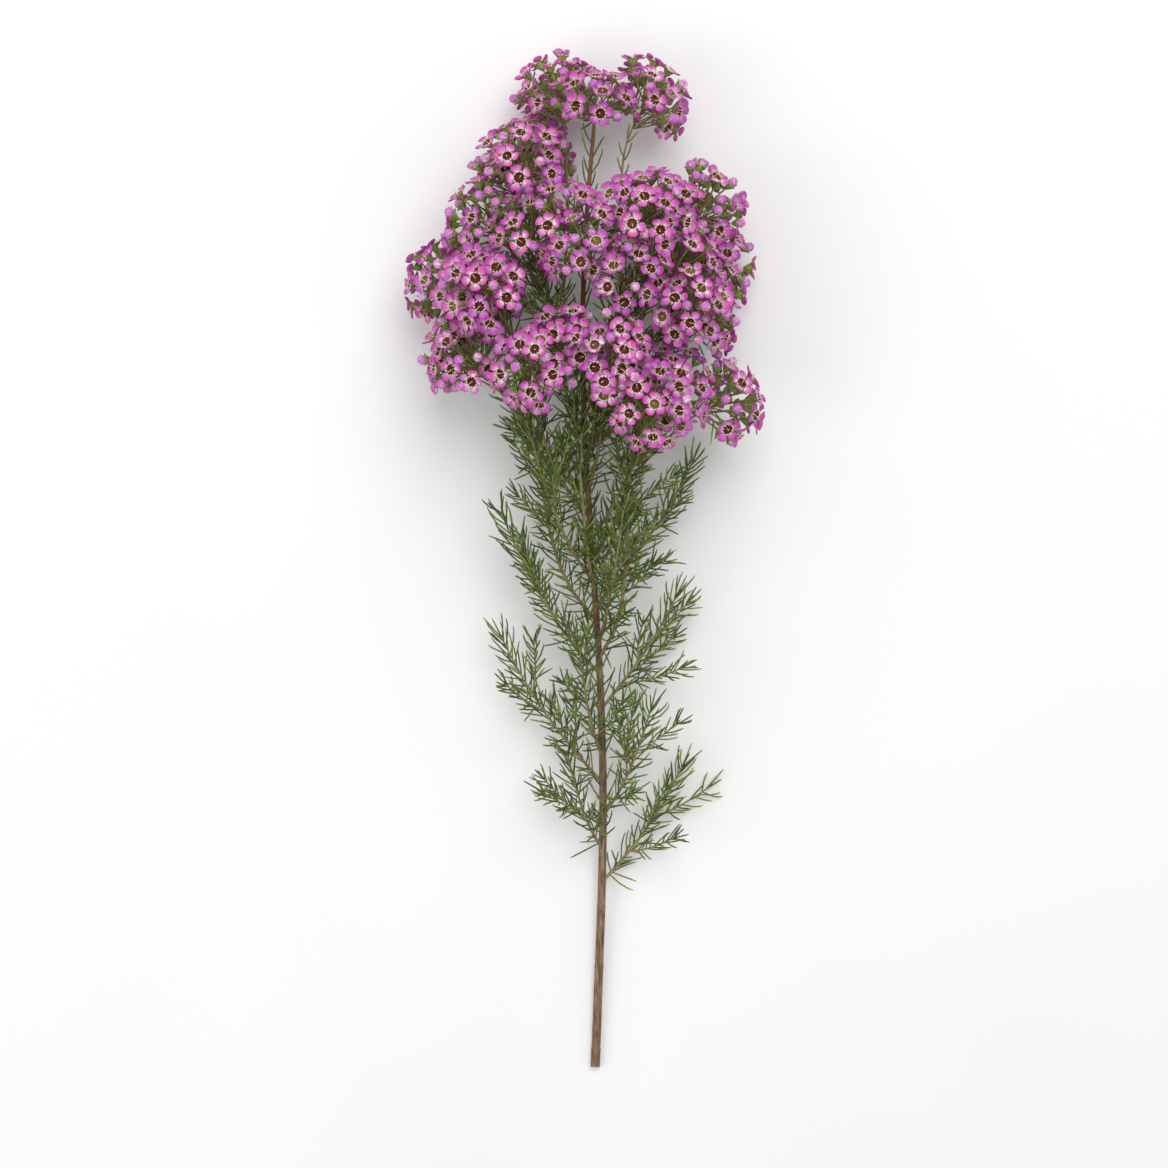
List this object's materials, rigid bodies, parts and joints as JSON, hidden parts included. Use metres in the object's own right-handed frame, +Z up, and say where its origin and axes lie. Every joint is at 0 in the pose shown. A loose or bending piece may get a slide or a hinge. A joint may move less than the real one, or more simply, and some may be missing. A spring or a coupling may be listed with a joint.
{
  "type": "waxflower stem",
  "caption": "Cut flowering stem lying on its side: a woody stem that branches into domed sprays of small five-petalled pink flowers over needle-leaved green shoots.",
  "frame": {"origin": "middle of the underside, on the surface that the stem lies on", "axes": "+Y along the stem from its cut end to its flowering tips, +Z up, +X to the right when the tips point away"},
  "size_m": [0.2038, 0.6054, 0.1299],
  "materials": {
    "bark": "matte",
    "twig": "matte",
    "petal": "satin",
    "leaf": "satin",
    "cup": "satin",
    "stamen": "matte"
  },
  "bodies": {
    "root": {"main_stem": "bark", "side_stem_01": "twig", "side_stem_02": "twig", "side_stem_03": "twig", "side_stem_04": "twig", "side_stem_05": "twig", "side_stem_06": "twig", "side_stem_07": "twig", "side_stem_08": "twig", "side_stem_09": "twig", "side_stem_10": "twig", "flower_head_01": "petal", "flower_head_02": "petal", "flower_head_03": "petal", "flower_head_04": "petal", "flower_head_05": "petal", "flower_head_06": "petal", "flower_head_07": "petal", "flower_head_08": "petal", "flower_head_09": "petal", "flower_head_10": "petal", "flower_head_11": "petal", "flower_head_12": "petal", "flower_head_13": "petal", "flower_head_14": "petal", "flower_head_15": "petal", "flower_head_16": "petal", "flower_head_17": "petal", "flower_head_18": "petal", "flower_head_19": "petal", "flower_head_20": "petal", "flower_head_21": "petal", "flower_head_22": "petal", "flower_head_23": "petal", "flower_head_24": "petal", "flower_head_25": "petal", "flower_head_26": "petal", "flower_head_27": "petal", "flower_head_28": "petal", "flower_head_29": "petal", "flower_head_30": "petal", "flower_head_31": "petal", "flower_head_32": "petal", "flower_head_33": "petal", "leafy_shoot_01": "leaf", "leafy_shoot_02": "leaf", "leafy_shoot_03": "leaf", "leafy_shoot_04": "leaf", "leafy_shoot_05": "leaf", "leafy_shoot_06": "leaf", "leafy_shoot_07": "leaf", "leafy_shoot_08": "leaf", "leafy_shoot_09": "leaf", "leafy_shoot_10": "leaf", "leafy_shoot_11": "leaf", "leafy_shoot_12": "leaf", "leafy_shoot_13": "leaf", "leafy_shoot_14": "leaf"}
  },
  "joints": []
}
